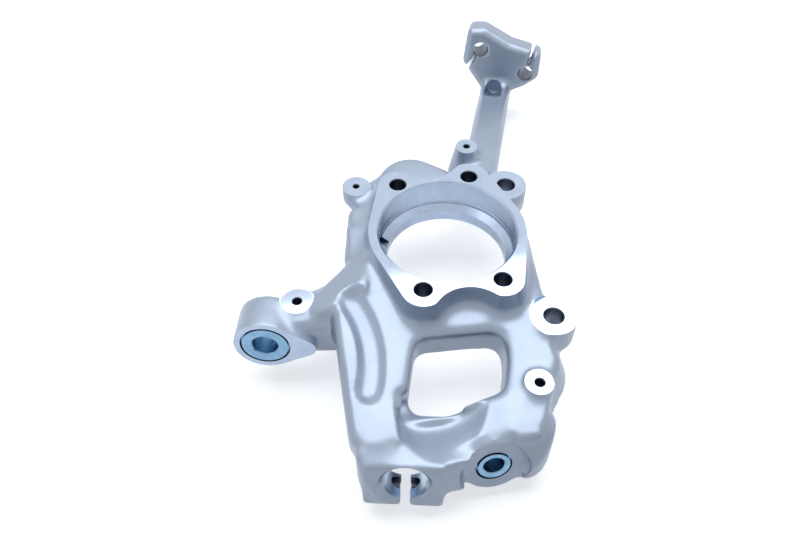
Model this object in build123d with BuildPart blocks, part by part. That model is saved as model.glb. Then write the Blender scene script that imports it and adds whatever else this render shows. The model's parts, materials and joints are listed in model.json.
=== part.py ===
from build123d import *
from math import atan2, cos, degrees, hypot, radians, sin, sqrt
import os

# Steering knuckle, a one-piece aluminium casting with machined faces and two pressed steel sleeves.
# Millimetres. The origin is the centre of the hub bore on the flange face. +Z points outboard along
# the wheel axis, +Y up the swan neck and +X towards the caliper side.

# Hub flange and bearing bore
hub_bore_r = 52.0
bearing_seat_depth = 23.0
hub_lip_r = 46.5
hub_lip_slope = 4.0
hub_bore_chamfer = 1.5
hub_depth = 36.0
hub_bolt_spacing_x = 58.0
hub_bolt_spacing_y = 110.0
hub_bolt_hole_r = 6.5
hub_bolt_seat_r = 11.0
flange_lobe_r = 15.5
flange_side_r = 60.0
flange_saddle_wall = 5.5
flange_saddle_r = 27.0
flange_corner_r = 8.0
flange_skirt_draft = 8.0
flange_foot_z = -10.0
flange_foot_draft = 27.0
flange_foot_depth = 9.0
hub_back_r = 57.0
sensor_hole_r = 4.5
sensor_hole_z = -26.0
sensor_hole_angle = 186.0

# Ring round the hub, with the rib on its left and the shoulder above it
ring_r = 66.5
ring_face_z = -17.0
ring_edge_r = 7.0
bevel = 3.5
deep_bevel = 5.0
rib_top = (-62.0, 48.0)
rib_low = (-70.5, 3.0)
rib_r = 9.0
rib_face_z = -18.2
rib_depth = 16.0
rib_web_root = (-30.0, 20.0, 20.0)
shoulder_at = (-14.0, 80.0)
shoulder_r = 27.0
shoulder_face_z = -15.8
shoulder_depth = 19.0
shoulder_web_root = (0.0, 20.0, 30.0)
shoulder_web_right = (10.0, 79.0, 12.0)
lobe_face_z = -20.5
lobe_depth = 14.5
lobe_web_root = (-35.0, 45.0, 20.0)
lobe_blend_drop = 2.0
lobe_blend_left = (-54.0, 72.0, 12.0)
lobe_blend_right = (-22.0, 80.0, 22.0)
lobe_blend_root = (-20.0, 50.0, 20.0)
side_top = (52.0, 25.0)
side_low = (45.0, -58.0)
side_r = 16.5
side_face_z = -18.7
side_depth = 18.4

# Lower legs, on one face that falls away towards the crossbar
leg_face_y = -60.0
leg_face_fall = 10.0
leg_left_depth = 32.0
leg_left_x = -70.0
leg_left_top = 2.0
leg_left_r = 24.6
leg_left_low = (-76.0, -80.0, 18.6)
leg_right_depth = 31.0
leg_right_draft = 20.0
leg_right_top = (36.0, -14.0, 14.0)
leg_right_mid = (39.5, -48.0, 18.5)
leg_right_low = (18.0, -80.0, 15.0)
plate_sink = 0.3
plate_depth = 30.0
plate_stations = ((-58, 10, 18), (36, 12, 18), (20, -88, 16), (-62, -84, 12))

# Window between the legs, as corners on the leg face, with a rim that flares outboard
window_corners = ((-38, -21), (25.5, -24), (21.5, -47), (14.5, -67), (-26, -76), (-53, -69))
window_corner_r = 11.0
window_rim_r = 7.0
window_rim_steps = (1.0, 0.4, 0.0)

# Apron from the arm up to the rib, on a face that falls to the left and upwards
apron_at = (-88.0, -41.0, -13.6)
apron_fall_left = 23.6
apron_fall_up = 14.4
apron_depth = 16.0
apron_stations = ((15, 19, 12), (-16, 8, 12), (24, 38, 9), (2, 0, 8), (14, 6, 8))

# Crossbar: its crest, front wall and the ledge that falls back to the window
crossbar_left = (-69.0, -155.0)
crossbar_left_r = 22.5
crossbar_right = (18.5, -147.5)
crossbar_right_r = 26.5
crest_y = -155.0
crest_z = -33.0
crest_r = 12.0
ledge_y = -126.0
ledge_z = -46.0
ledge_left_x = -61.0
ledge_right_x = -16.0
ledge_corner_r = 6.0
ledge_floor = 10.0
ledge_skin = 1.5
front_y = -178.0
front_z = -65.0
front_r = 6.0
front_undercut = 6.0
crossbar_back_y = -124.0
crossbar_back_z = -76.0
saddle_x = -35.0
saddle_radius = 48.0
saddle_sink = 7.0
saddle_slope = 18.0
saddle_length = 70.0

# Raised pad low on the right leg, as the corners of its foot and the radii of its ends
pad_foot_left = (15.0, -97.0)
pad_foot_right = (32.0, -95.0)
pad_foot_r = 4.0
pad_top = (36.0, -72.0)
pad_top_r = 11.0
pad_height = 1.8
pad_depth = 16.0
pad_edge = 1.2

# Long pocket in the outboard face of the left leg
pocket_top = (-80.0, 16.0)
pocket_mid = (-71.0, -22.0)
pocket_low = (-77.0, -55.0)
pocket_width = 22.0
pocket_depth = 6.0
pocket_wall_angle = 40.0

# Brake caliper ears
ear_r = 17.2
ear_hole_r = 7.3
ear_thickness = 20.0
ear_top_z = -21.0
ear_up_at = (64.0, 62.5)
ear_low_at = (63.0, -77.7)
ear_web_drop = 4.0
ear_up_web_root = (20.0, 30.0, 30.0)
ear_low_web_root = (30.0, -60.0, 26.0)
ear_seat_r = 14.5
ear_face_r = 17.8
ear_seat_cut = 1.0

# Small tapped bosses: top centre, radius and tapping radius
boss_left_at = (-60.3, 79.0, -19.0)
boss_left_r = 11.7
boss_left_hole_r = 2.5
boss_right_at = (38.5, -128.0, -25.0)
boss_right_r = 10.0
boss_right_hole_r = 3.4
boss_neck_at = (39.7, 107.0, -13.0)
boss_neck_r = 9.5
boss_neck_root_r = 15.5
boss_neck_hole_r = 2.5
boss_tie_at = (-118.6, -28.8, -27.0)
boss_tie_r = 11.9
boss_tie_hole_r = 3.4
boss_stem = 22.0
boss_neck_stem = 30.0
tapped_hole_depth = 13.0

# Tie-rod eye and its arm
tie_eye_at = (-145.8, -52.3, -45.0)
tie_eye_r = 23.5
tie_eye_length = 30.0
tie_eye_turn = 12.0
tie_eye_rise = 4.0
tie_lug_at = (30.0, -2.0)
tie_lug_r = 8.0
tie_sleeve_r = 18.0
tie_sleeve_bore_r = 9.5
tie_arm_root = (-84.0, -33.0)
tie_arm_root_r = 24.0
tie_arm_end = (-119.0, -37.0)
tie_arm_end_r = 15.0
tie_arm_face_z = -27.5
tie_arm_depth = 34.0

# Lower link boss on the crossbar
link_at = (-0.2, -166.6, -57.5)
link_rise = 14.0
link_boss_r = 23.5
link_boss_edge = 2.5
link_boss_length = 42.0
link_face_r = 19.75
link_sleeve_r = 12.0
link_sleeve_bore_r = 7.25
link_sleeve_length = 34.0
link_sleeve_stand = 1.0
link_relief_r = 9.5

# Lower pinch clamp
pinch_at = (-61.7, -172.5, -55.0)
pinch_turn = 12.0
pinch_rise = 10.4
pinch_bore_r = 15.5
pinch_chamfer = 3.3
pinch_length = 20.0
pinch_relief = 24.0
pinch_relief_top = 3.0
pinch_left = -28.5
pinch_right = 26.0
pinch_top = 18.0
pinch_crown = 25.0
pinch_body = 30.0
pinch_low = -25.0
pinch_flare = ((22.0, 1.5), (46.0, 10.0), (46.0, 28.0), (22.0, 28.0))
pinch_flare_low = -8.0
pinch_flare_high = 18.0
pinch_cheek_low = -27.0
pinch_cheek_depth = 12.0
pinch_slit = 6.5
pinch_bolt_r = 5.2
pinch_bolt_y = -17.2
pinch_bolt_depth = 13.0
pinch_corner_r = 6.0
pinch_top_r = 2.0

# Swan neck, and the upper head with its two ball-pin clamps
neck_turn = 20.0
neck_foot_x = 12.9
neck_left = -12.5
neck_right = 17.5
neck_root_u = 58.0
neck_root_z = -17.0
neck_top_u = 256.2
neck_top_z = -50.0
neck_thickness = 28.0
neck_bevel = 4.5
neck_tip_lean = 6.0
neck_tip_rise = 18.0
neck_tip_thickness = 26.0
neck_tip_fall = 5.0
neck_heel = (24.0, -30.0)
head_tilt = 10.0
head_thickness = 28.0
head_inner_bend_r = 14.0
head_outer_bend_r = 34.0
head_bevel = 4.0
head_corner_r = 6.5
head_outline_points = (
    (-10.5, -26),
    (-11.5, -9),
    (-34, 20),
    (-31, 54),
    (-15, 55.5),
    (12, 42.5),
    (43.5, 35.5),
    (43.5, 10),
    (30, -1),
    (16.5, -8),
    (15.5, -26),
)
pin_bore_r = 7.5
pin_left_at = (-16.7, 34.6)
pin_right_at = (30.0, 14.4)
pin_splay = 12.0
pin_left_slit_angle = 240.0
pin_right_slit_angle = 77.0
pin_slit = 3.5
pin_slit_reach = 32.0
pin_bolt_r = 5.2
pin_bolt_height = 25.0
scoop_r = 8.5
scoop_at = (0.5, -4.0, -5.0)
scoop_height = 30.0
pin_slit_extra = 4.0

# Steel sleeves: groove round the head
sleeve_groove_width = 0.9
sleeve_groove_depth = 2.5
sleeve_chamfer = 0.8

# Length of a cut that goes right through, and how near counts as touching
reach = 200.0
touching = 0.01


def hull(*stations):
    """Flat outline wrapped round a row of circles, each given as x, y and radius."""
    with BuildSketch(mode=Mode.PRIVATE) as outline:
        for x, y, r in stations:
            with Locations((x, y)):
                Circle(r)
        make_hull()
    return outline.sketch


def web(plane, depth, rim_bevel, *stations, draft=0):
    """Web of the casting: a hull outline on a plane, grown inboard with a draft, its outboard rim bevelled.

    Without a draft the inboard rim has a bevel too, of half the size.
    """
    with BuildPart(mode=Mode.PRIVATE) as piece:
        with BuildSketch(plane):
            add(hull(*stations))
        extrude(amount=-depth, taper=-draft)
        inboard, outboard = piece.faces().filter_by(plane).sort_by(Axis(plane.origin, plane.z_dir))
        chamfer(outboard.edges(), length=rim_bevel)
        if not draft:
            chamfer(inboard.edges(), length=rim_bevel / 2)
    return piece.part


def corner(sketch, x, y):
    """Corner of an open sketch nearest to a point of its own plane."""
    return sketch.vertices().sort_by_distance((x, y))[0]


def tilted(at, turn, rise):
    """Plane facing -Y, turned towards -X and raised towards +Z by the given angles."""
    outward = Vector(
        -sin(radians(turn)) * cos(radians(rise)),
        -cos(radians(turn)) * cos(radians(rise)),
        sin(radians(rise)),
    )
    return Plane(origin=at, x_dir=(cos(radians(turn)), -sin(radians(turn)), 0), z_dir=outward)


def pin_frame(at, splay):
    """Plane at a point of the head's face whose normal is turned across the head by the splay angle."""
    outward = head_plane.z_dir * cos(radians(splay)) + across * sin(radians(splay))
    return Plane(origin=head_plane.from_local_coords((*at, 0)), x_dir=head_plane.y_dir, z_dir=outward)


leg_normal = (0, -sin(radians(leg_face_fall)), cos(radians(leg_face_fall)))
leg_plane = Plane(origin=(0, leg_face_y, ring_face_z), x_dir=(1, 0, 0), z_dir=leg_normal)
ear_plane = Plane.XY.offset(ear_top_z - ear_web_drop)
tie_arm_plane = Plane.XY.offset(tie_arm_face_z)
apron_plane = Plane(Location(apron_at) * Location((0, 0, 0), (-apron_fall_up, -apron_fall_left, 0)))

# The swan neck's side view lies on neck_plane, and the head's outline on head_plane
along = Vector(sin(radians(neck_turn)), cos(radians(neck_turn)), 0)
across = Vector(cos(radians(neck_turn)), -sin(radians(neck_turn)), 0)
neck_plane = Plane(origin=(neck_foot_x, 0, 0), x_dir=along, z_dir=across)
head_origin = neck_plane.from_local_coords((neck_top_u, neck_top_z, 0))
head_normal = Vector(0, 0, sin(radians(head_tilt))) - along * cos(radians(head_tilt))
head_plane = Plane(origin=head_origin, x_dir=across, z_dir=head_normal)

# Machined frames: z leaves each bore outwards
tie_plane = tilted(tie_eye_at, tie_eye_turn, tie_eye_rise)
link_plane = tilted(link_at, 0, link_rise)
pinch_plane = tilted(pinch_at, pinch_turn, pinch_rise)
pinch_side_plane = Plane(origin=pinch_at, x_dir=pinch_plane.z_dir, z_dir=-pinch_plane.x_dir)
pinch_plan = Plane(origin=pinch_at, x_dir=pinch_plane.x_dir, z_dir=pinch_plane.y_dir)

# Flange: four lobes round the bolts, with a rounded saddle between each pair
saddle_y = hub_bore_r + flange_saddle_wall + flange_saddle_r
with BuildPart() as flange:
    with BuildSketch() as flange_outline:
        Circle(flange_side_r)
        with GridLocations(hub_bolt_spacing_x, hub_bolt_spacing_y, 2, 2):
            Circle(flange_lobe_r)
        make_hull()
        with Locations((0, saddle_y), (0, -saddle_y)):
            Circle(flange_saddle_r, mode=Mode.SUBTRACT)
        saddle_ends = flange_outline.vertices().filter_by(
            lambda v: abs(hypot(v.X, abs(v.Y) - saddle_y) - flange_saddle_r) < touching
        )
        fillet(saddle_ends, radius=flange_corner_r)
    extrude(amount=-hub_depth, taper=-flange_skirt_draft)
    with BuildSketch(Plane.XY.offset(flange_foot_z)):
        add(flange_outline.sketch_local)
    extrude(amount=-flange_foot_depth, taper=-flange_foot_draft)

# Ring round the hub, turned, with the rib, the shoulder and the webs out to the ears
with BuildPart() as ring:
    with BuildSketch(Plane.XZ) as ring_section:
        with Locations((0, -hub_depth)):
            Rectangle(ring_r, hub_depth + ring_face_z, align=(Align.MIN, Align.MIN))
        fillet(ring_section.vertices().group_by(Axis.X)[-1], radius=ring_edge_r)
    revolve(axis=Axis.Z)
    rib_plane = Plane.XY.offset(rib_face_z)
    add(web(rib_plane, rib_depth, bevel, (*rib_top, rib_r), (*rib_low, rib_r), rib_web_root))
    add(web(apron_plane, apron_depth, bevel, *apron_stations))
    shoulder_plane = Plane.XY.offset(shoulder_face_z)
    crown = (*shoulder_at, shoulder_r)
    add(web(shoulder_plane, shoulder_depth, deep_bevel, crown, shoulder_web_right, shoulder_web_root))
    lobe_plane = Plane.XY.offset(lobe_face_z)
    add(web(lobe_plane, lobe_depth, bevel, (*boss_left_at[:2], boss_left_r), lobe_web_root))
    lobe_blend_plane = lobe_plane.offset(-lobe_blend_drop)
    add(web(lobe_blend_plane, lobe_depth, bevel, lobe_blend_left, lobe_blend_right, lobe_blend_root))
    side_plane = Plane.XY.offset(side_face_z)
    add(web(side_plane, side_depth, bevel, (*side_top, side_r), (*side_low, side_r)))
    add(web(ear_plane, ear_thickness, bevel, (*ear_up_at, ear_r), ear_up_web_root))
    add(web(ear_plane, ear_thickness, bevel, (*ear_low_at, ear_r), ear_low_web_root))

# Two legs, the plate between them, and the raised pad that the right leg's boss stands on
with BuildPart() as legs:
    leg_top = (leg_left_x, leg_left_top, leg_left_r)
    add(web(leg_plane, leg_left_depth, deep_bevel, leg_top, leg_left_low))
    right = (leg_right_top, leg_right_mid, leg_right_low)
    add(web(leg_plane, leg_right_depth, bevel, *right, draft=leg_right_draft))
    plate_plane = leg_plane.offset(-plate_sink)
    add(web(plate_plane, plate_depth, bevel, *plate_stations))
    foot_left = (*pad_foot_left, pad_foot_r)
    foot_right = (*pad_foot_right, pad_foot_r)
    pad_crown = (*pad_top, pad_top_r)
    add(web(leg_plane.offset(pad_height), pad_depth, pad_edge, foot_left, foot_right, pad_crown))

# Crossbar: one section with a rounded crest and a leaning front wall, kept inside its rounded plan
with BuildPart() as crossbar:
    with BuildSketch(Plane.YZ.offset(-reach)) as crossbar_section:
        with BuildLine():
            Polyline(
                (crossbar_back_y, ledge_z),
                (crest_y, crest_z),
                (front_y, front_z),
                (front_y + front_undercut, crossbar_back_z),
                (crossbar_back_y, crossbar_back_z + front_undercut),
                close=True,
            )
        make_face()
        fillet(corner(crossbar_section, crest_y, crest_z), radius=crest_r)
        fillet(corner(crossbar_section, front_y, front_z), radius=front_r)
        fillet(corner(crossbar_section, front_y + front_undercut, crossbar_back_z), radius=front_r)
    extrude(amount=2 * reach)
    with BuildSketch():
        add(hull((*crossbar_left, crossbar_left_r), (*crossbar_right, crossbar_right_r)))
    extrude(amount=-reach, mode=Mode.INTERSECT)

# Swan neck: its side view given a width, with the long edges bevelled
with BuildPart() as neck:
    root = (neck_root_u, neck_root_z)
    inner_bend = (neck_top_u, neck_top_z)
    tip_u = neck_top_u + neck_tip_lean
    tip_z = neck_top_z + neck_tip_rise
    outer_bend = (neck_top_u + neck_heel[0], neck_top_z + neck_heel[1])
    with BuildSketch(neck_plane.offset(neck_left)) as neck_side:
        with BuildLine():
            Polyline(
                root,
                inner_bend,
                (tip_u, tip_z),
                (tip_u + neck_tip_thickness, tip_z - neck_tip_fall),
                outer_bend,
                (neck_root_u, neck_root_z - neck_thickness),
                close=True,
            )
        make_face()
        fillet(corner(neck_side, *inner_bend), radius=head_inner_bend_r)
        fillet(corner(neck_side, *outer_bend), radius=head_outer_bend_r)
    extrude(amount=neck_right - neck_left)
    chamfer(neck.faces().filter_by(neck_plane).edges(), length=neck_bevel)

# Head: the outline seen along the ball pins, given its thickness
with BuildPart() as head:
    with BuildSketch(head_plane) as head_outline:
        with BuildLine():
            Polyline(*head_outline_points, close=True)
        make_face()
        fillet(head_outline.vertices(), radius=head_corner_r)
    extrude(amount=-head_thickness)
    chamfer(head.faces().filter_by(head_plane).edges(), length=head_bevel)

# Tie-rod arm and eye: a lug with a flat face towards the arm, and the barrel behind it
with BuildPart() as tie_arm:
    arm_root = (*tie_arm_root, tie_arm_root_r)
    arm_end = (*tie_arm_end, tie_arm_end_r)
    add(web(tie_arm_plane, tie_arm_depth, deep_bevel, arm_root, arm_end))
    with BuildSketch(tie_plane):
        add(hull((0, 0, tie_eye_r), (*tie_lug_at, tie_lug_r)))
    extrude(amount=-tie_eye_length)
    with Locations(boss_tie_at):
        Cylinder(boss_tie_r, boss_stem, align=(Align.CENTER, Align.CENTER, Align.MAX))

# Lower link boss, and the pinch clamp, whose cheeks reach down past its bolt
with BuildPart() as lower_bosses:
    with Locations(link_plane.location):
        Cylinder(link_boss_r, link_boss_length, align=(Align.CENTER, Align.CENTER, Align.MAX))
    chamfer(lower_bosses.edges().sort_by(Axis(link_at, link_plane.z_dir))[-1], length=link_boss_edge)
    with BuildSketch(pinch_side_plane.offset(-pinch_right)) as clamp_side:
        with BuildLine():
            Polyline(
                (0, pinch_top),
                (0, pinch_low),
                (-pinch_cheek_depth, pinch_cheek_low),
                (-pinch_length, pinch_cheek_low),
                (-pinch_body, pinch_flare_low),
                (-pinch_body, pinch_crown),
                close=True,
            )
        make_face()
        fillet(corner(clamp_side, 0, pinch_low), radius=pinch_corner_r)
        fillet(corner(clamp_side, 0, pinch_top), radius=pinch_top_r)
    extrude(amount=pinch_right - pinch_left)
    low_corners = lower_bosses.edges().filter_by(Axis(pinch_at, pinch_plane.z_dir)).sort_by(Axis.Y)[:2]
    fillet(low_corners, radius=pinch_corner_r)
    with BuildSketch(pinch_plan.offset(pinch_flare_low)):
        with BuildLine():
            Polyline(*pinch_flare, close=True)
        make_face()
    extrude(amount=pinch_flare_high - pinch_flare_low)

# Small bosses stand on their webs; the one at the neck has a stem that widens downwards
with BuildPart() as small_bosses:
    with Locations(boss_left_at):
        Cylinder(boss_left_r, lobe_depth, align=(Align.CENTER, Align.CENTER, Align.MAX))
    with Locations(boss_right_at):
        Cylinder(boss_right_r, boss_stem, align=(Align.CENTER, Align.CENTER, Align.MAX))
    with Locations(boss_neck_at):
        Cone(boss_neck_root_r, boss_neck_r, boss_neck_stem, align=(Align.CENTER, Align.CENTER, Align.MAX))

# Ears: round pads for the brake caliper
with BuildPart() as ears:
    with Locations((*ear_up_at, ear_top_z), (*ear_low_at, ear_top_z)):
        Cylinder(ear_r, ear_thickness, align=(Align.CENTER, Align.CENTER, Align.MAX))

# Window between the legs: straight walls, and a rounded rim made of tapered steps
with BuildPart() as window:
    with BuildSketch(leg_plane) as window_outline:
        with BuildLine():
            Polyline(*window_corners, close=True)
        make_face()
        fillet(window_outline.vertices(), radius=window_corner_r)
    extrude(amount=-reach / 2)
    for low, high in zip(window_rim_steps, window_rim_steps[1:]):
        grown_low = window_rim_r * (1 - sqrt(1 - (1 - low) ** 2))
        grown_high = window_rim_r * (1 - sqrt(1 - (1 - high) ** 2))
        rise = window_rim_r * (low - high)
        with BuildSketch(leg_plane.offset(-window_rim_r * low)):
            add(window_outline.sketch_local)
            offset(amount=grown_low, kind=Kind.ARC)
        extrude(amount=rise, taper=-degrees(atan2(grown_high - grown_low, rise)))
    with BuildSketch(leg_plane):
        add(window_outline.sketch_local)
        offset(amount=window_rim_r, kind=Kind.ARC)
    extrude(amount=window_rim_r)

# Ledge behind the crest: a channel that falls to the window, with rounded ends
with BuildPart() as ledge:
    with BuildSketch(Plane.YZ.offset(ledge_left_x)):
        with BuildLine():
            Polyline(
                (crest_y, crest_z - ledge_skin),
                (ledge_y, ledge_z),
                (ledge_y + ledge_floor, ledge_z),
                (ledge_y + ledge_floor, 0),
                (crest_y, 0),
                close=True,
            )
        make_face()
    extrude(amount=ledge_right_x - ledge_left_x)
    fillet(ledge.edges().filter_by(Axis.Z), radius=ledge_corner_r)

# Saddle in the crest: a wide shallow scoop across it, which stops at the ledge's left wall
with BuildPart() as saddle:
    saddle_axis_z = crest_z + saddle_radius - saddle_sink
    with Locations(Location((saddle_x, crest_y, saddle_axis_z), (90 - saddle_slope, 0, 0))):
        Cylinder(saddle_radius, saddle_length)
    split(bisect_by=Plane.YZ.offset(ledge_left_x), keep=Keep.TOP)

# Pocket of the left leg: a curved slot whose walls lean in to the floor
with BuildPart() as leg_pocket:
    with BuildSketch(leg_plane.offset(-pocket_depth)):
        with BuildLine(mode=Mode.PRIVATE):
            pocket_arc = ThreePointArc(pocket_top, pocket_mid, pocket_low)
        SlotArc(pocket_arc, pocket_width - 2 * pocket_depth)
    extrude(amount=2 * pocket_depth, taper=-pocket_wall_angle)

# Left ball pin leans to the left behind the head, the right one to the right
pin_left_plane = pin_frame(pin_left_at, pin_splay)
pin_right_plane = pin_frame(pin_right_at, -pin_splay)
with BuildPart() as pin_cuts:
    with Locations(pin_left_plane.location, pin_right_plane.location):
        Cylinder(pin_bore_r, reach / 2)
    with BuildSketch(head_plane):
        with Locations(Location((*pin_left_at, 0), (0, 0, pin_left_slit_angle))):
            Rectangle(pin_slit_reach, pin_slit, align=(Align.MIN, Align.CENTER))
        with Locations(Location((*pin_right_at, 0), (0, 0, pin_right_slit_angle))):
            Rectangle(pin_slit_reach + pin_slit_extra, pin_slit, align=(Align.MIN, Align.CENTER))
    extrude(amount=2 * head_thickness, both=True)
    pin_bolt_start = head_plane.from_local_coords((0, pin_bolt_height, -head_thickness / 2))
    with Locations(Plane(origin=pin_bolt_start, x_dir=head_plane.y_dir, z_dir=across).location):
        Cylinder(pin_bolt_r, reach)
    with Locations(head_plane * Location(scoop_at)):
        Cylinder(scoop_r, scoop_height, align=(Align.CENTER, Align.CENTER, Align.MIN))

# Hub machining: bearing seat and lip, bolt holes with seats behind, and the radial sensor hole
with BuildPart() as hub_cuts:
    with BuildSketch(Plane.XZ):
        with BuildLine():
            Polyline(
                (0, hub_bore_chamfer),
                (hub_bore_r + 2 * hub_bore_chamfer, hub_bore_chamfer),
                (hub_bore_r, -hub_bore_chamfer),
                (hub_bore_r, -bearing_seat_depth),
                (hub_lip_r, -bearing_seat_depth - hub_lip_slope),
                (hub_lip_r, -reach),
                (0, -reach),
                close=True,
            )
        make_face()
    revolve(axis=Axis.Z)
    with GridLocations(hub_bolt_spacing_x, hub_bolt_spacing_y, 2, 2):
        Cylinder(hub_bolt_hole_r, reach)
    with Locations((0, 0, -hub_depth)):
        Cylinder(hub_back_r, reach, align=(Align.CENTER, Align.CENTER, Align.MAX))
        with GridLocations(hub_bolt_spacing_x, hub_bolt_spacing_y, 2, 2):
            Cylinder(hub_bolt_seat_r, reach, align=(Align.CENTER, Align.CENTER, Align.MAX))
    with Locations(Location((0, 0, sensor_hole_z), (0, 0, sensor_hole_angle))):
        with Locations(Location((0, 0, 0), (0, 90, 0))):
            Cylinder(sensor_hole_r, reach / 2, align=(Align.CENTER, Align.CENTER, Align.MIN))

# Through holes of the ears with a machined seat behind each, and the tapped holes
ear_back_z = ear_top_z - ear_web_drop - ear_thickness
with BuildPart() as holes:
    with Locations((*ear_up_at, ear_top_z), (*ear_low_at, ear_top_z)):
        Cylinder(ear_hole_r, reach)
    with Locations((*ear_up_at, ear_back_z + ear_seat_cut), (*ear_low_at, ear_back_z + ear_seat_cut)):
        Cylinder(ear_seat_r, reach, align=(Align.CENTER, Align.CENTER, Align.MAX))
    with Locations((*ear_up_at, ear_top_z), (*ear_low_at, ear_top_z)):
        Cylinder(ear_face_r, boss_stem, align=(Align.CENTER, Align.CENTER, Align.MIN))
    with Locations(boss_left_at):
        Cylinder(boss_left_hole_r, 2 * tapped_hole_depth)
    with Locations(boss_right_at):
        Cylinder(boss_right_hole_r, 2 * tapped_hole_depth)
    with Locations(boss_neck_at):
        Cylinder(boss_neck_hole_r, 2 * tapped_hole_depth)
    with Locations(boss_tie_at):
        Cylinder(boss_tie_hole_r, 2 * tapped_hole_depth)

# Seats of the two sleeves, with the spot face in front of the link seat
with BuildPart() as sleeve_seats:
    with Locations(tie_plane.location):
        Cylinder(tie_sleeve_r, 3 * tie_eye_length)
    with BuildSketch(link_plane):
        add(hull((0, 0, link_face_r), (0, -2 * link_boss_r, link_boss_r)))
    extrude(amount=link_boss_length)
    with Locations(link_plane.location):
        Cylinder(link_sleeve_r, link_sleeve_length, align=(Align.CENTER, Align.CENTER, Align.MAX))
        Cylinder(link_relief_r, reach, align=(Align.CENTER, Align.CENTER, Align.MAX))

# Pinch bore with its chamfer, a relief behind it, the slit below it and the bolt across the cheeks
with BuildPart() as pinch_cuts:
    rim_r = pinch_bore_r + pinch_chamfer
    with Locations(pinch_plane.location):
        Cylinder(pinch_bore_r, 2 * pinch_length + touching)
        Cylinder(rim_r, pinch_length, align=(Align.CENTER, Align.CENTER, Align.MIN))
    with BuildSketch(pinch_plane.offset(-pinch_length)):
        with Locations((0, pinch_relief_top)):
            Rectangle(2 * rim_r, reach / 2, align=(Align.CENTER, Align.MAX))
    extrude(amount=-pinch_relief)
    with Locations(pinch_plane.location):
        Cone(pinch_bore_r, rim_r, pinch_chamfer, align=(Align.CENTER, Align.CENTER, Align.MAX))
    with BuildSketch(pinch_plane.offset(pinch_length)):
        Rectangle(pinch_slit, reach / 2, align=(Align.CENTER, Align.MAX))
    extrude(amount=-3 * pinch_length)
    bolt_middle = pinch_plane.from_local_coords((0, pinch_bolt_y, -pinch_bolt_depth))
    with Locations(Plane(origin=bolt_middle, x_dir=pinch_plane.y_dir, z_dir=pinch_plane.x_dir).location):
        Cylinder(pinch_bolt_r, 2 * (pinch_right - pinch_left))

with BuildPart() as body:
    for form in (ring, flange, legs, crossbar, neck, head, tie_arm, lower_bosses, small_bosses, ears):
        add(form.part)
    for form in (window, ledge, saddle, leg_pocket, pin_cuts, hub_cuts, holes, sleeve_seats, pinch_cuts):
        add(form.part, mode=Mode.SUBTRACT)
body.part.label = "knuckle_body"


def sleeve(plane, outer_r, bore_r, length, stand):
    """Pressed steel sleeve: a turned tube whose head is stepped in all round, so a groove is left."""
    with BuildPart(mode=Mode.PRIVATE) as piece:
        with BuildSketch(plane.offset(stand)):
            Circle(outer_r - sleeve_groove_width)
        extrude(amount=-stand - sleeve_groove_depth)
        with BuildSketch(plane.offset(-sleeve_groove_depth)):
            Circle(outer_r)
        extrude(amount=sleeve_groove_depth - length)
        with Locations(plane.location):
            Cylinder(bore_r, 3 * length, mode=Mode.SUBTRACT)
        rims = piece.edges().filter_by(GeomType.CIRCLE)
        chamfer(rims.filter_by(lambda e: abs(e.radius - bore_r) < touching), length=sleeve_chamfer)
    return piece.part


with BuildPart() as tie_rod_sleeve:
    add(sleeve(tie_plane, tie_sleeve_r, tie_sleeve_bore_r, tie_eye_length, 0))
tie_rod_sleeve.part.label = "tie_rod_sleeve"

with BuildPart() as lower_link_sleeve:
    add(sleeve(link_plane, link_sleeve_r, link_sleeve_bore_r, link_sleeve_length, link_sleeve_stand))
lower_link_sleeve.part.label = "lower_link_sleeve"

os.makedirs("parts", exist_ok=True)
export_step(body.part, "parts/knuckle_body.step")
export_step(tie_rod_sleeve.part, "parts/tie_rod_sleeve.step")
export_step(lower_link_sleeve.part, "parts/lower_link_sleeve.step")
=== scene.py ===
import json
from math import cos, pi, radians, sin

import bmesh
import bpy
import numpy as np
from mathutils import Matrix, Vector


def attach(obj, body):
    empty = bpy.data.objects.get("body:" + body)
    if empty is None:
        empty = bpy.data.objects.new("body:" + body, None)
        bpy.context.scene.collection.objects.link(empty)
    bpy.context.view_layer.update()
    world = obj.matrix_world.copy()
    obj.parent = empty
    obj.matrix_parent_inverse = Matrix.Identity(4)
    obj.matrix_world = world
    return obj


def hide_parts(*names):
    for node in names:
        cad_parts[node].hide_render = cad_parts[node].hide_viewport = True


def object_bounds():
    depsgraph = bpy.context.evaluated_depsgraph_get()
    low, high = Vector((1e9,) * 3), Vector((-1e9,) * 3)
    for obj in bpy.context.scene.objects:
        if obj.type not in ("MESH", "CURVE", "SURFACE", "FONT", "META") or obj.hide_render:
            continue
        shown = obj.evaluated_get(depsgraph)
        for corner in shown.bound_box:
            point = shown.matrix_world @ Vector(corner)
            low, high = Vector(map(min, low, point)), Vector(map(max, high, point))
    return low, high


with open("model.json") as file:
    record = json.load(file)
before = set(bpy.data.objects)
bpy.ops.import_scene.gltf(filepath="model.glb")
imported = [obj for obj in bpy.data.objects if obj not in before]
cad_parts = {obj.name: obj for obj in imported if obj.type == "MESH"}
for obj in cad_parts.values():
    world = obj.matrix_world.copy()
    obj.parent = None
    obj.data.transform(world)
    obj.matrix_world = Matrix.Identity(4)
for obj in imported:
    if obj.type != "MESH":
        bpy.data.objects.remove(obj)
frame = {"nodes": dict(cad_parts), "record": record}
cad_low, cad_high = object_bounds()
MM = 0.001

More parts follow.
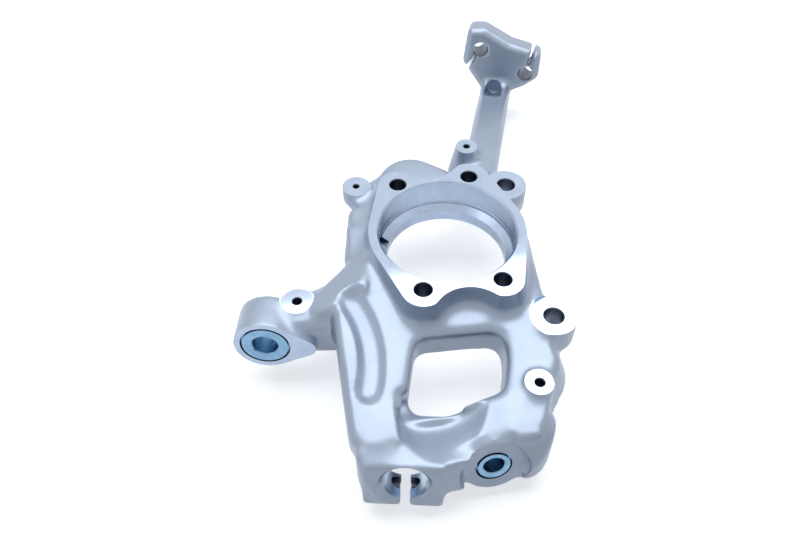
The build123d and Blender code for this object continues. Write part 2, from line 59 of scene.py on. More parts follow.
# The casting is rebuilt as a foundry would: a raw casting with stock on its machined places,
# smoothed where webs meet, and then cut by tools in the places that the frame's mounts give.
VOXEL = 1.25 * MM
EDGE_ROUNDS = 9
FILL_ROUNDS = 55
SOFTEN_ROUNDS = 5
SMOOTH_RATE = 0.5
NORMALS_EVERY = 5
HEAD_START = 240 * MM
HEAD_FADE = 15 * MM
HEAD_SHARE = 0.3
SKIN_TRIANGLES = 180000
SHARP_ANGLE = radians(32)
FLAT_COSINE = 0.999
FLAT_TOLERANCE = 0.02 * MM
WELD_DISTANCE = 0.001 * MM
TINY = 1e-12
STOCK = 3 * MM
PLUG_EXTRA = 0.3 * MM
COIN_DEPTH = 6 * MM

# Sides of round tools, from the hub bore down to the tapped holes
HUB_SIDES = 192
WIDE_SIDES = 128
ROUND_SIDES = 96
HOLE_SIDES = 64
BOLT_SIDES = 48
TAPPED_SIDES = 32

# Cast shapes laid on the raw casting, in millimetres: origin, normal, and a block's low and high corner
LEG_NORMAL = (0, -0.17, 0.98)
LEG_END_NORMAL = (0, -0.28, 0.96)
CORNER_NORMAL = (0.35, -0.17, 0.92)
CORNER_AT = (-62, -116, -28.4)
CAST_FILLS = {
    "left_leg_end": ((-75, -150, -33.5), LEG_END_NORMAL, (-12, -17, -10), (10, 6, 0)),
    "window_corner": (CORNER_AT, CORNER_NORMAL, (-3, -12, -18), (8.2, 14, 0)),
    "window_corner_end": (CORNER_AT, CORNER_NORMAL, (4, -1.5, -18), (12, 14, 0)),
    "apron_top": ((-59, -26, -11.3), LEG_NORMAL, (-5, -15, -9), (8, 17, 0)),
    "right_foot_pad": ((23, -156, -32.1), LEG_NORMAL, (-8, -7, -9), (9, 8, 0.3)),
    "flange_pad": ((-70.5, 17, -18.2), (-0.12, 0, 1), (-4, -16, -7), (6, 16, 1.2)),
}

# Machined sizes that the mounts don't state
HUB_DEPTH = 36 * MM
HUB_LIP_R = 46.5 * MM
HUB_LIP_SLOPE = 4 * MM
HUB_CHAMFER = 1.5 * MM
SEAT_DEPTH = 23 * MM
SEAT_GROOVE_AT = 19.4 * MM
SEAT_GROOVE_DEPTH = 0.5 * MM
SEAT_GROOVE_WIDTH = 1.0 * MM
SENSOR_HOLE_R = 4.5 * MM
SENSOR_HOLE_DEPTH = 26 * MM
SENSOR_HOLE_ANGLE = radians(186)
NOTCH_ANGLE = radians(159)
NOTCH_HALF_WIDTH = 3.4 * MM
NOTCH_TOP = -19.5 * MM
NOTCH_LOW = -28 * MM
NOTCH_REACH = 54 * MM
FLANGE_MILL = ((-75 * MM, -80 * MM, 0), (75 * MM, 80 * MM, 40 * MM))
EAR_R = 17.2 * MM
EAR_CLEAR = 50 * MM
BOSS_CLEAR = 25 * MM
TAPPED_PLUG_R = 4 * MM
TAPPED_PLUG_DEPTH = 13 * MM
SHIELD_BOSS_R = {
    "shield_hole_left": 11.7 * MM,
    "shield_hole_neck": 9.5 * MM,
    "shield_hole_right": 10.0 * MM,
    "bracket_hole_arm": 11.9 * MM,
}
TIE_SLEEVE_R = 18 * MM
TIE_LENGTH = 30 * MM
TIE_MILL = ((-34 * MM, -34 * MM, 0), (40 * MM, 34 * MM, 20 * MM))
LINK_FACE_R = 21 * MM
LINK_BOSS_R = 23.5 * MM
LINK_SPOT_R = LINK_BOSS_R - 3 * MM
LINK_FACE_SINK = 0.2 * MM
LINK_SLEEVE_R = 12 * MM
LINK_SLEEVE_LENGTH = 34 * MM
LINK_RELIEF_R = 9.5 * MM
LINK_FLARE = 3 * MM
# The gaps round the sleeves are coloured near-black as painted shade; the link sleeve's gap is dropped so
# that its dark arc shows below the sleeve.
SLEEVE_GAP = 0.7 * MM
LINK_GAP_DROP = 1.1 * MM
SLEEVE_GAP_DEPTH = 1.6 * MM
PINCH_CHAMFER = 3.3 * MM
PINCH_RIM = 2.3 * MM
PINCH_RIM_LIFT = 1.3 * MM
PINCH_LENGTH = 20 * MM
PINCH_RELIEF = 24 * MM
PINCH_RELIEF_TOP = 3 * MM
PINCH_SLIT = 6.5 * MM
PINCH_BOLT_R = 5.2 * MM
PINCH_BOLT_DROP = 17.2 * MM
PINCH_BOLT_DEPTH = 13 * MM
PINCH_HALF_WIDTH = 34 * MM
HOLE_CHAMFER = 0.6 * MM
RUN_OUT = 0.8 * MM
DEEP = 200 * MM

mounts = {mount["name"]: mount for mount in frame["record"]["mounts"]}
EARS = ("caliper_hole_upper", "caliper_hole_lower")
UPPER_CLAMPS = ("upper_pin_clamp_left", "upper_pin_clamp_right")
SLEEVES = ("tie_rod_sleeve", "lower_link_sleeve")


def aim(axis, up=(0, 1, 0)):
    """Rotation whose z is the axis, and whose y lies as near to up as it can."""
    z = Vector(axis).normalized()
    x = Vector(up).cross(z).normalized()
    return Matrix((x, z.cross(x), z)).transposed().to_4x4()


def place(position, axis, up=(0, 1, 0)):
    """Matrix of a tool's frame: its origin, and z leaving the hole."""
    return Matrix.Translation(position) @ aim(axis, up)


def half_length(name):
    """Half of the length that a round mount states."""
    return mounts[name]["dims"]["length_mm"] * MM / 2


def bore_size(name):
    """Radius and length that a round mount states."""
    dims = mounts[name]["dims"]
    return dims["r_mm"] * MM, dims["length_mm"] * MM


def mouth(name):
    """Frame at the outer end of a round mount's wall."""
    mount = mounts[name]
    axis = Vector(mount["axis"])
    return place(Vector(mount["pos_m"]) + axis * half_length(name), axis)


def moved_mouth(name, outward):
    """Frame on a round mount's axis, at a distance outwards from its middle, with y nearly upright."""
    mount = mounts[name]
    return place(Vector(mount["pos_m"]) + Vector(mount["axis"]) * outward, mount["axis"], (0, 0, 1))


def turned(profile, matrix, sides=ROUND_SIDES):
    """Closed solid of revolution from (radius, height) points, first and last on the axis."""
    mesh = bmesh.new()
    rings = []
    for radius, height in profile:
        if radius == 0:
            rings.append([mesh.verts.new((0, 0, height))])
        else:
            steps = [2 * pi * k / sides for k in range(sides)]
            rings.append([mesh.verts.new((radius * cos(a), radius * sin(a), height)) for a in steps])
    for low, high in zip(rings, rings[1:]):
        for k in range(sides):
            below = [low[k % len(low)], low[(k + 1) % len(low)]]
            over = [high[(k + 1) % len(high)], high[k % len(high)]]
            mesh.faces.new(list(dict.fromkeys(below + over)))
    bmesh.ops.recalc_face_normals(mesh, faces=mesh.faces)
    mesh.transform(matrix)
    return mesh


def pin(radius, low, high, matrix, sides=ROUND_SIDES):
    """Plain cylinder between two heights."""
    return turned([(0, low), (radius, low), (radius, high), (0, high)], matrix, sides)


def block(low, high, matrix):
    """Plain block between two corners."""
    mesh = bmesh.new()
    bmesh.ops.create_cube(mesh, size=1)
    size = Vector(high) - Vector(low)
    middle = (Vector(high) + Vector(low)) / 2
    mesh.transform(matrix @ Matrix.Translation(middle) @ Matrix.Diagonal((*size, 1)))
    return mesh


def face_stock(source, point, axis, thickness):
    """Closed solid over a mesh's flat faces on one plane, from half a thickness under it to one over."""
    normal = Vector(axis)
    mesh = source.copy()
    off_plane = []
    for face in mesh.faces:
        distance = abs((face.calc_center_median() - Vector(point)).dot(normal))
        if face.normal.dot(normal) < FLAT_COSINE or distance > FLAT_TOLERANCE:
            off_plane.append(face)
    bmesh.ops.delete(mesh, geom=off_plane, context="FACES")
    for vert in mesh.verts:
        vert.co -= normal * thickness / 2
    grown = bmesh.ops.extrude_face_region(mesh, geom=mesh.faces[:], use_keep_orig=True)
    tops = [g for g in grown["geom"] if isinstance(g, bmesh.types.BMVert)]
    bmesh.ops.translate(mesh, verts=tops, vec=normal * thickness * 1.5)
    bmesh.ops.recalc_face_normals(mesh, faces=mesh.faces)
    return mesh


def join(meshes, name):
    """One object from several bmesh solids, which it frees."""
    whole = bpy.data.meshes.new(name)
    total = bmesh.new()
    for mesh in meshes:
        part = bpy.data.meshes.new("part")
        mesh.to_mesh(part)
        total.from_mesh(part)
        bpy.data.meshes.remove(part)
        mesh.free()
    total.to_mesh(whole)
    total.free()
    thing = bpy.data.objects.new(name, whole)
    bpy.context.scene.collection.objects.link(thing)
    return thing


def apply_modifiers(thing):
    """Bakes an object's modifiers into its mesh."""
    graph = bpy.context.evaluated_depsgraph_get()
    baked = bpy.data.meshes.new_from_object(thing.evaluated_get(graph))
    thing.modifiers.clear()
    old = thing.data
    thing.data = baked
    bpy.data.meshes.remove(old)


def cut(thing, tools, finish):
    """Takes the tools away from a casting, one after another, and gives the cut faces their finish."""
    cutters = []
    for tool in tools:
        cutter = join([tool], "tool")
        cutter.data.materials.append(finish)
        boolean = thing.modifiers.new("cut", "BOOLEAN")
        boolean.operation = "DIFFERENCE"
        boolean.solver = "MANIFOLD"
        boolean.material_mode = "TRANSFER"
        boolean.object = cutter
        cutters.append(cutter)
    apply_modifiers(thing)
    for cutter in cutters:
        bpy.data.objects.remove(cutter)


def around(edges, values, count):
    """Sum over each vertex's neighbours."""
    low, high = edges[:, 0], edges[:, 1]
    sums = []
    for k in range(3):
        sums.append(np.bincount(low, values[high, k], count) + np.bincount(high, values[low, k], count))
    return np.stack(sums, 1)


def vertex_normals(mesh, points):
    """Unit normals at the vertices of a mesh of quads and triangles, for given points."""
    count = len(points)
    loops = np.zeros(len(mesh.loops), np.int64)
    mesh.loops.foreach_get("vertex_index", loops)
    starts = np.zeros(len(mesh.polygons), np.int64)
    mesh.polygons.foreach_get("loop_start", starts)
    sizes = np.zeros(len(mesh.polygons), np.int64)
    mesh.polygons.foreach_get("loop_total", sizes)
    first, second, third = (loops[starts + k] for k in range(3))
    last = loops[starts + sizes - 1]
    face = np.cross(points[third] - points[first], points[last] - points[second])
    three = sizes == 3
    face[three] = np.cross(points[second] - points[first], points[third] - points[first])[three]
    total = np.zeros((count, 3))
    for corner in (first, second, third, last):
        for k in range(3):
            total[:, k] += np.bincount(corner, face[:, k], count)
    return total / np.maximum(np.linalg.norm(total, axis=1, keepdims=True), TINY)


def cast_smooth(mesh, rounds, weight, only_fill):
    """Moves vertices to their neighbours' middle, or with only_fill just outwards, which rounds hollows."""
    count = len(mesh.vertices)
    points = np.zeros(count * 3)
    mesh.vertices.foreach_get("co", points)
    points = points.reshape(-1, 3)
    edges = np.zeros(len(mesh.edges) * 2, np.int64)
    mesh.edges.foreach_get("vertices", edges)
    edges = edges.reshape(-1, 2)
    valence = np.bincount(edges.ravel(), minlength=count)[:, None]
    share = weight(points)[:, None]
    for step in range(rounds):
        move = around(edges, points, count) / valence - points
        if only_fill:
            if step % NORMALS_EVERY == 0:
                normals = vertex_normals(mesh, points)
            lift = (move * normals).sum(1, keepdims=True)
            points = points + SMOOTH_RATE * share * np.maximum(lift, 0) * normals
        else:
            points = points + SMOOTH_RATE * share * move
    mesh.vertices.foreach_set("co", points.ravel())
    mesh.update()


def below_head(points):
    """1 on the casting up to the swan neck's top, fading to 0 at the head, whose slits stay open."""
    return np.clip((HEAD_START - points[:, 1]) / HEAD_FADE, 0, 1)


def gentler_head(points):
    """1 on the casting up to the swan neck's top, fading to a smaller share at the head."""
    return HEAD_SHARE + (1 - HEAD_SHARE) * below_head(points)


# Materials
NOISE_ROUGHNESS = 0.6
RAMP_START = 0.3
RAMP_END = 0.7
MARK_PITCH = 0.9 * MM
MARK_UNEVENNESS = 1.5
WAVES_PER_UNIT = 20 / (2 * pi)


def principled(name):
    """New material and its nodes, links and principled shader."""
    made = bpy.data.materials.new(name)
    made.use_nodes = True
    tree = made.node_tree
    return made, tree.nodes, tree.links, tree.nodes["Principled BSDF"]


def noise(nodes, links, scale, detail, stretch=(1, 1, 1)):
    """Noise over the object's own coordinates, whose scale counts per metre."""
    place_node = nodes.new("ShaderNodeTexCoord")
    mapping = nodes.new("ShaderNodeMapping")
    mapping.inputs["Scale"].default_value = stretch
    texture = nodes.new("ShaderNodeTexNoise")
    texture.inputs["Scale"].default_value = scale
    texture.inputs["Detail"].default_value = detail
    texture.inputs["Roughness"].default_value = NOISE_ROUGHNESS
    links.new(place_node.outputs["Object"], mapping.inputs["Vector"])
    links.new(mapping.outputs["Vector"], texture.inputs["Vector"])
    return texture


def ramp(nodes, links, source, low, high):
    """Colour that runs from low to high over part of a noise's range."""
    made = nodes.new("ShaderNodeValToRGB")
    made.color_ramp.elements[0].position = RAMP_START
    made.color_ramp.elements[1].position = RAMP_END
    made.color_ramp.elements[0].color = (*low, 1)
    made.color_ramp.elements[1].color = (*high, 1)
    links.new(source, made.inputs["Fac"])
    return made.outputs["Color"]


def bump(nodes, links, height, strength, distance, before=None):
    """Bump node over a height, on top of an earlier one."""
    made = nodes.new("ShaderNodeBump")
    made.inputs["Strength"].default_value = strength
    made.inputs["Distance"].default_value = distance
    links.new(height, made.inputs["Height"])
    if before:
        links.new(before, made.inputs["Normal"])
    return made.outputs["Normal"]


def spread(nodes, links, source, low, high):
    """Value that runs from low to high over a noise."""
    made = nodes.new("ShaderNodeMapRange")
    made.inputs["To Min"].default_value = low
    made.inputs["To Max"].default_value = high
    links.new(source, made.inputs["Value"])
    return made.outputs["Result"]


def cast_aluminium():
    """Shot-blasted casting: blue-grey, fine grain, and faint clouding where the mould lay."""
    made, nodes, links, shader = principled("cast_aluminium")
    clouds = noise(nodes, links, scale=24, detail=4).outputs["Fac"]
    tint = ramp(nodes, links, clouds, low=(0.385, 0.45, 0.56), high=(0.455, 0.525, 0.64))
    links.new(tint, shader.inputs["Base Color"])
    grain = noise(nodes, links, scale=1500, detail=3).outputs["Fac"]
    links.new(spread(nodes, links, grain, low=0.28, high=0.40), shader.inputs["Roughness"])
    shader.inputs["Metallic"].default_value = 0.42
    waves = noise(nodes, links, scale=80, detail=2).outputs["Fac"]
    swell = bump(nodes, links, waves, strength=0.22, distance=0.6 * MM)
    rough_skin = bump(nodes, links, grain, strength=0.35, distance=0.15 * MM, before=swell)
    links.new(rough_skin, shader.inputs["Normal"])
    return made


def tool_marks(nodes, links):
    """Rings about the wheel axis, as a face mill leaves them."""
    place_node = nodes.new("ShaderNodeTexCoord")
    rings = nodes.new("ShaderNodeTexWave")
    rings.wave_type = "RINGS"
    rings.rings_direction = "Z"
    rings.inputs["Scale"].default_value = 1 / MARK_PITCH / WAVES_PER_UNIT
    rings.inputs["Distortion"].default_value = MARK_UNEVENNESS
    links.new(place_node.outputs["Object"], rings.inputs["Vector"])
    return rings.outputs["Fac"]


def machined_aluminium(name, low, high, rough, marks):
    """Cut metal: clean, with fine rings from the tool and a little clouding."""
    made, nodes, links, shader = principled(name)
    clouds = noise(nodes, links, scale=70, detail=4).outputs["Fac"]
    links.new(ramp(nodes, links, clouds, low, high), shader.inputs["Base Color"])
    shader.inputs["Metallic"].default_value = 1.0
    gloss = spread(nodes, links, clouds, low=rough * 0.8, high=rough * 1.2)
    links.new(gloss, shader.inputs["Roughness"])
    rings = bump(nodes, links, tool_marks(nodes, links), strength=marks, distance=0.02 * MM)
    links.new(rings, shader.inputs["Normal"])
    return made


def painted_gap_shade():
    """Near-black colour in the gaps round the sleeves: painted shade for the shadow that lies in the thin
    gaps.
    """
    made, nodes, links, shader = principled("painted_gap_shade")
    # A faint random mottle in the painted shade.
    painted_shade_mottle = noise(nodes, links, scale=300, detail=2).outputs["Fac"]
    tint = ramp(nodes, links, painted_shade_mottle, low=(0.008, 0.010, 0.014), high=(0.02, 0.024, 0.03))
    links.new(tint, shader.inputs["Base Color"])
    shader.inputs["Roughness"].default_value = 0.7
    return made


def zinc_steel():
    """Blue zinc plating on a turned sleeve."""
    made, nodes, links, shader = principled("zinc_steel")
    film = noise(nodes, links, scale=180, detail=3).outputs["Fac"]
    tint = ramp(nodes, links, film, low=(0.17, 0.31, 0.46), high=(0.25, 0.41, 0.57))
    links.new(tint, shader.inputs["Base Color"])
    shader.inputs["Metallic"].default_value = 0.95
    links.new(spread(nodes, links, film, low=0.18, high=0.32), shader.inputs["Roughness"])
    scratches = noise(nodes, links, scale=900, detail=2, stretch=(1, 0.1, 1)).outputs["Fac"]
    links.new(bump(nodes, links, scratches, strength=0.12, distance=0.03 * MM), shader.inputs["Normal"])
    return made


cast = cast_aluminium()
milled = machined_aluminium(
    "milled_aluminium", low=(0.47, 0.57, 0.73), high=(0.56, 0.66, 0.82), rough=0.07, marks=0.04,
)
turned_finish = machined_aluminium(
    "turned_aluminium", low=(0.33, 0.40, 0.52), high=(0.41, 0.49, 0.62), rough=0.26, marks=0.10,
)
# Drilled finish: the roughness and tool marks are real, but the dark base colour is painted shade for the
# shadow inside the holes.
drilled_painted_shade = machined_aluminium(
    "drilled_aluminium_painted_shade", low=(0.09, 0.11, 0.15), high=(0.17, 0.20, 0.26), rough=0.34, marks=0.10,
)
# Bored finish, paler than the other cut faces: the smooth cut is real, but the extra paleness is painted
# light that lifts the shade inside the pinch clamp's bore.
bored_painted_light = machined_aluminium(
    "bored_aluminium_painted_light", low=(0.60, 0.70, 0.84), high=(0.70, 0.80, 0.92), rough=0.30, marks=0.02,
)
# Near-black painted shade for the gaps round the sleeves.
gap_painted_shade = painted_gap_shade()
zinc = zinc_steel()

# Frames of the machined places: z leaves the hole
tie_frame = moved_mouth("tie_rod_bore", TIE_LENGTH / 2)
link_frame = moved_mouth("lower_link_bore", half_length("lower_link_bore") - LINK_FACE_SINK)
pinch_frame = moved_mouth("lower_pinch_clamp", half_length("lower_pinch_clamp") + PINCH_CHAMFER)
bolts = mounts["hub_bolts"]["dims"]
hub_r = mounts["hub_bore"]["dims"]["r_mm"] * MM
bolt_r = bolts["hole_r_mm"] * MM
pinch_r = mounts["lower_pinch_clamp"]["dims"]["r_mm"] * MM
bolt_places = [
    Matrix.Translation((sx * bolts["spacing_x_mm"] / 2 * MM, sy * bolts["spacing_y_mm"] / 2 * MM, 0))
    for sx in (-1, 1) for sy in (-1, 1)
]


def hole(radius, depth, matrix):
    """Drill with a small chamfer at the mouth, at height 0."""
    wide = radius + HOLE_CHAMFER
    return turned([
        (0, -depth),
        (radius, -depth),
        (radius, -HOLE_CHAMFER),
        (wide, 0),
        (wide, 2 * STOCK),
        (0, 2 * STOCK),
    ], matrix, HOLE_SIDES)


def cast_fills():
    """Blocks that bring the raw casting's form closer to the photograph's."""
    for origin, normal, low, high in CAST_FILLS.values():
        corners = [tuple(size * MM for size in corner) for corner in (low, high)]
        yield block(*corners, place(Vector(origin) * MM, normal))


def stock():
    """Plugs in the bores, extra metal on the machined faces, and the cast shapes that are laid on."""
    source = bmesh.new()
    source.from_mesh(body_node.data)
    bmesh.ops.remove_doubles(source, verts=source.verts, dist=WELD_DISTANCE)
    added = [pin(hub_r + PLUG_EXTRA, -HUB_DEPTH, STOCK, Matrix.Identity(4))]
    added.append(face_stock(source, (0, 0, 0), (0, 0, 1), STOCK))
    added += [pin(bolt_r + PLUG_EXTRA, -HUB_DEPTH, STOCK, spot, BOLT_SIDES) for spot in bolt_places]
    for name in EARS:
        plug_r, length = bore_size(name)
        added.append(pin(EAR_R, -COIN_DEPTH, STOCK, mouth(name)))
        added.append(pin(plug_r + PLUG_EXTRA, -length, STOCK, mouth(name), BOLT_SIDES))
    for name, radius in SHIELD_BOSS_R.items():
        added.append(pin(radius, -COIN_DEPTH, STOCK, mouth(name)))
        added.append(pin(TAPPED_PLUG_R, -TAPPED_PLUG_DEPTH, STOCK, mouth(name), TAPPED_SIDES))
    added.append(face_stock(source, tie_frame.translation, mounts["tie_rod_bore"]["axis"], STOCK))
    added.append(pin(TIE_SLEEVE_R + PLUG_EXTRA, -TIE_LENGTH, STOCK, tie_frame))
    added.append(pin(LINK_SLEEVE_R + PLUG_EXTRA, -LINK_SLEEVE_LENGTH, STOCK, link_frame))
    added.append(pin(LINK_SPOT_R, -COIN_DEPTH, STOCK, link_frame))
    added.append(pin(LINK_BOSS_R, -COIN_DEPTH, 0, link_frame))
    added += cast_fills()
    added.append(pin(pinch_r + PINCH_CHAMFER + PLUG_EXTRA, -PINCH_LENGTH, 0, pinch_frame))
    for name in UPPER_CLAMPS:
        plug_r, length = bore_size(name)
        added.append(pin(plug_r + PLUG_EXTRA, STOCK - length, -STOCK, mouth(name), BOLT_SIDES))
    source.free()
    return added


def milling():
    """Face mills over the flange, and over the ears and the small bosses."""
    yield block(*FLANGE_MILL, Matrix.Identity(4))
    for name in EARS:
        yield pin(EAR_R + RUN_OUT, 0, EAR_CLEAR, mouth(name))
    for name, radius in SHIELD_BOSS_R.items():
        yield pin(radius + RUN_OUT, 0, BOSS_CLEAR, mouth(name))


def turning():
    """Bearing seat with its groove and lip, the tie-rod eye's face, and the pinch clamp's slit."""
    yield turned([
        (0, -DEEP),
        (HUB_LIP_R, -DEEP),
        (HUB_LIP_R, -SEAT_DEPTH - HUB_LIP_SLOPE),
        (hub_r, -SEAT_DEPTH),
        (hub_r, -SEAT_GROOVE_AT - SEAT_GROOVE_WIDTH),
        (hub_r + SEAT_GROOVE_DEPTH, -SEAT_GROOVE_AT - SEAT_GROOVE_WIDTH / 2),
        (hub_r, -SEAT_GROOVE_AT),
        (hub_r, -HUB_CHAMFER),
        (hub_r + 2 * HUB_CHAMFER, HUB_CHAMFER),
        (hub_r + 2 * HUB_CHAMFER, 2 * STOCK),
        (0, 2 * STOCK),
    ], Matrix.Identity(4), HUB_SIDES)
    yield block(*TIE_MILL, tie_frame)
    slit_low = (-PINCH_SLIT / 2, -DEEP / 2, -2 * PINCH_LENGTH)
    yield block(slit_low, (PINCH_SLIT / 2, 0, PINCH_LENGTH), pinch_frame)


def drilling():
    """Bolt holes, tapped holes, sleeve seats, ball pin bores, and the sensor's hole and notch."""
    for spot in bolt_places:
        yield hole(bolt_r, DEEP, spot)
    for name in EARS:
        yield hole(bore_size(name)[0], DEEP, mouth(name))
    for name in SHIELD_BOSS_R:
        radius, length = bore_size(name)
        yield hole(radius, length, mouth(name))
    yield pin(TIE_SLEEVE_R, -1.5 * TIE_LENGTH, 2 * STOCK, tie_frame)
    yield pin(LINK_SLEEVE_R, -LINK_SLEEVE_LENGTH, 2 * STOCK, link_frame)
    yield pin(LINK_RELIEF_R, -DEEP, 0, link_frame, HOLE_SIDES)
    bolt_middle = pinch_frame @ Matrix.Translation((0, -PINCH_BOLT_DROP, -PINCH_BOLT_DEPTH))
    across = bolt_middle @ Matrix.Rotation(pi / 2, 4, "Y")
    yield pin(PINCH_BOLT_R, -PINCH_HALF_WIDTH, PINCH_HALF_WIDTH, across, BOLT_SIDES)
    for name in UPPER_CLAMPS:
        radius, length = bore_size(name)
        yield pin(radius, -length - 2 * STOCK, 2 * STOCK, mouth(name), HOLE_SIDES)
    outward = (cos(SENSOR_HOLE_ANGLE), sin(SENSOR_HOLE_ANGLE), 0)
    sensor_frame = place((0, 0, -SENSOR_HOLE_DEPTH), outward)
    yield pin(SENSOR_HOLE_R, HUB_LIP_R / 2, DEEP / 2, sensor_frame, BOLT_SIDES)
    notch_low = (hub_r / 2, -NOTCH_HALF_WIDTH, NOTCH_LOW)
    notch_high = (NOTCH_REACH, NOTCH_HALF_WIDTH, NOTCH_TOP)
    yield block(notch_low, notch_high, Matrix.Rotation(NOTCH_ANGLE, 4, "Z"))


def gap_tools():
    """Thin gaps round the two sleeves, whose walls get near-black painted shade."""
    yield pin(TIE_SLEEVE_R + SLEEVE_GAP, -SLEEVE_GAP_DEPTH, STOCK, tie_frame)
    dropped = link_frame @ Matrix.Translation((0, -LINK_GAP_DROP, 0))
    yield pin(LINK_SLEEVE_R + SLEEVE_GAP, -SLEEVE_GAP_DEPTH, STOCK, dropped)


def boring():
    """The pinch clamp's bore, which runs out into the relief behind it."""
    yield pin(pinch_r, -PINCH_LENGTH - COIN_DEPTH, STOCK, pinch_frame, WIDE_SIDES)


def relief_tools():
    """Relief behind the pinch bore, the rim at its mouth, and the link boss's face with its flare."""
    rim = pinch_r + PINCH_CHAMFER
    low = (-rim, -DEEP / 2, -PINCH_LENGTH - PINCH_RELIEF)
    yield block(low, (rim, PINCH_RELIEF_TOP, -PINCH_LENGTH), pinch_frame)
    yield turned([
        (0, -PINCH_RIM),
        (pinch_r, -PINCH_RIM),
        (pinch_r + PINCH_RIM + STOCK, STOCK),
        (0, STOCK),
    ], pinch_frame @ Matrix.Translation((0, PINCH_RIM_LIFT, 0)), WIDE_SIDES)
    yield turned([
        (0, 0),
        (LINK_FACE_R, 0),
        (LINK_FACE_R + LINK_FLARE, LINK_FLARE),
        (LINK_FACE_R + 2 * LINK_FLARE, 4 * LINK_FLARE),
        (0, 4 * LINK_FLARE),
    ], link_frame, WIDE_SIDES)
    face_low = (-LINK_FACE_R, -2 * LINK_BOSS_R, 0)
    yield block(face_low, (LINK_FACE_R, -LINK_FACE_R / 2, BOSS_CLEAR), link_frame)


def casting():
    """The whole casting: raw shape, smoothed skin, machined places."""
    raw = join(stock(), "knuckle_casting")
    own = bmesh.new()
    own.from_mesh(raw.data)
    own.from_mesh(body_node.data)
    own.to_mesh(raw.data)
    own.free()
    raw.data.materials.clear()
    remesh = raw.modifiers.new("remesh", "REMESH")
    remesh.mode = "VOXEL"
    remesh.voxel_size = VOXEL
    apply_modifiers(raw)
    cast_smooth(raw.data, EDGE_ROUNDS, gentler_head, False)
    cast_smooth(raw.data, FILL_ROUNDS, below_head, True)
    cast_smooth(raw.data, SOFTEN_ROUNDS, gentler_head, False)
    triangles = sum(len(p.vertices) - 2 for p in raw.data.polygons)
    slim = raw.modifiers.new("slim", "DECIMATE")
    slim.ratio = min(1.0, SKIN_TRIANGLES / triangles)
    apply_modifiers(raw)
    raw.data.materials.append(cast)
    cut(raw, relief_tools(), cast)
    cut(raw, milling(), milled)
    cut(raw, turning(), turned_finish)
    # The pinch clamp's bore gets the paler bored finish, whose extra brightness is painted light.
    cut(raw, boring(), bored_painted_light)
    # The holes get the drilled finish, whose dark colour is painted shade.
    cut(raw, drilling(), drilled_painted_shade)
    # The gaps get their near-black painted shade.
    cut(raw, gap_tools(), gap_painted_shade)
    raw.data.shade_smooth()
    raw.data.set_sharp_from_angle(angle=SHARP_ANGLE)
    return raw


body_node = frame["nodes"]["knuckle_body"]
skin = casting()
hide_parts("knuckle_body")
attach(skin, "root")

for name in SLEEVES:
    sleeve = frame["nodes"][name]
    sleeve.data.materials.clear()
    sleeve.data.materials.append(zinc)

# Light and floor
PANEL_AZIMUTH = radians(8)
PANEL_ELEVATION = radians(74.5)
PANEL_SIZE = (2.6, 1.3)
PANEL_DISTANCE = 1.6
PANEL_POWER = 26
PANEL_COLOR = (0.93, 0.97, 1.0)
FILL_DIRECTION = (-1, -0.25, 0.55)
FILL_DISTANCE = 1.4
FILL_SIZE = (1.0, 1.2)
FILL_POWER = 1
LIT_CENTRE = (-0.02, 0.03, -0.03)
SKY_LIGHT = (0.60, 0.74, 1.0, 1)
SKY_STRENGTH = 0.10
FLOOR_LIGHT = (0.08, 0.10, 0.13, 1)
FLOOR_GLOW = 0.62
FLOOR_HALF_SIZE = 3
FLOOR_DROP = 0.5 * MM

# Camera, at the photograph's viewing angle
CAMERA_AT = Vector((-102.055, -393.744, 419.932)) * MM
CAMERA_FORWARD = Vector((0.10832, 0.64974, -0.75240))
CAMERA_RIGHT = Vector((0.98639, -0.16445, 0.0))
CAMERA_LENS = 34.695
CAMERA_SENSOR = 36
camera_data = bpy.data.cameras.new("camera")
camera_data.lens = CAMERA_LENS
camera_data.sensor_width = CAMERA_SENSOR
camera = bpy.data.objects.new("camera", camera_data)
camera_up = CAMERA_RIGHT.cross(CAMERA_FORWARD).normalized()
camera_turn = Matrix((CAMERA_RIGHT, camera_up, -CAMERA_FORWARD)).transposed().to_4x4()
camera.matrix_world = Matrix.Translation(CAMERA_AT) @ camera_turn
bpy.context.scene.collection.objects.link(camera)
bpy.context.scene.camera = camera


def soft_panel(name, direction, distance, size, power, color=(1, 1, 1)):
    """Rectangular lamp that faces the part from a direction."""
    lamp = bpy.data.lights.new(name, "AREA")
    lamp.shape = "RECTANGLE"
    lamp.size, lamp.size_y = size
    lamp.energy = power
    lamp.color = color
    thing = bpy.data.objects.new(name, lamp)
    way = Vector(direction).normalized()
    thing.matrix_world = Matrix.Translation(Vector(LIT_CENTRE) + way * distance) @ aim(way)
    bpy.context.scene.collection.objects.link(thing)


def lights():
    """A high panel beyond the head, which the machined faces mirror, and a weak fill from the left."""
    across = sin(PANEL_AZIMUTH) * cos(PANEL_ELEVATION)
    along = cos(PANEL_AZIMUTH) * cos(PANEL_ELEVATION)
    high = (across, along, sin(PANEL_ELEVATION))
    soft_panel("high_panel", high, PANEL_DISTANCE, PANEL_SIZE, PANEL_POWER, PANEL_COLOR)
    soft_panel("left_fill", FILL_DIRECTION, FILL_DISTANCE, FILL_SIZE, FILL_POWER)


def seen_rays(nodes, links):
    """1 for rays from the camera, and for those that reflections and glass send on."""
    path = nodes.new("ShaderNodeLightPath")
    total = path.outputs["Is Camera Ray"]
    for kind in ("Is Glossy Ray", "Is Transmission Ray"):
        either = nodes.new("ShaderNodeMath")
        either.operation = "MAXIMUM"
        links.new(total, either.inputs[0])
        links.new(path.outputs[kind], either.inputs[1])
        total = either.outputs["Value"]
    return total


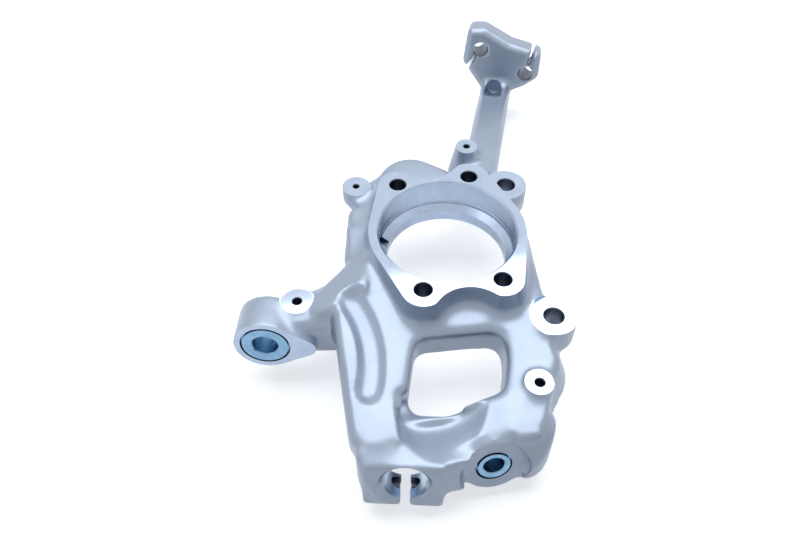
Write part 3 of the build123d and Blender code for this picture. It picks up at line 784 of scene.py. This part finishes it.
def surround():
    """Pale world: white where it is seen or mirrored, and a soft blue where it lights the object."""
    world = bpy.data.worlds.new("world")
    world.use_nodes = True
    nodes, links = world.node_tree.nodes, world.node_tree.links
    base = nodes["Background"]
    base.inputs["Color"].default_value = SKY_LIGHT
    base.inputs["Strength"].default_value = SKY_STRENGTH
    seen = nodes.new("ShaderNodeBackground")
    seen.inputs["Color"].default_value = (1, 1, 1, 1)
    seen.inputs["Strength"].default_value = 1.0
    mix = nodes.new("ShaderNodeMixShader")
    links.new(seen_rays(nodes, links), mix.inputs["Fac"])
    links.new(base.outputs["Background"], mix.inputs[1])
    links.new(seen.outputs["Background"], mix.inputs[2])
    links.new(mix.outputs["Shader"], nodes["World Output"].inputs["Surface"])
    bpy.context.scene.world = world


def pale_floor():
    """Floor finish: white but for shadows where it is seen or mirrored, dim where it lights the part."""
    made, nodes, links, shader = principled("pale_floor")
    shader.inputs["Roughness"].default_value = 0.9
    shader.inputs["Specular IOR Level"].default_value = 0.0
    seen = seen_rays(nodes, links)
    mix = nodes.new("ShaderNodeMix")
    mix.data_type = "RGBA"
    mix.inputs["A"].default_value = FLOOR_LIGHT
    mix.inputs["B"].default_value = (1, 1, 1, 1)
    links.new(seen, mix.inputs["Factor"])
    links.new(mix.outputs["Result"], shader.inputs["Base Color"])
    glow = nodes.new("ShaderNodeMath")
    glow.operation = "MULTIPLY"
    glow.inputs[1].default_value = FLOOR_GLOW
    links.new(seen, glow.inputs[0])
    shader.inputs["Emission Color"].default_value = (1, 1, 1, 1)
    links.new(glow.outputs["Value"], shader.inputs["Emission Strength"])
    return made


def floor():
    """Pale table just under the part."""
    mesh = bmesh.new()
    bmesh.ops.create_grid(mesh, x_segments=1, y_segments=1, size=FLOOR_HALF_SIZE)
    data = bpy.data.meshes.new("floor")
    mesh.to_mesh(data)
    mesh.free()
    thing = bpy.data.objects.new("floor", data)
    thing.location = (0, 0, cad_low.z - FLOOR_DROP)
    bpy.context.scene.collection.objects.link(thing)
    thing.data.materials.append(pale_floor())


lights()
surround()
floor()
bpy.context.scene.view_settings.view_transform = "Standard"
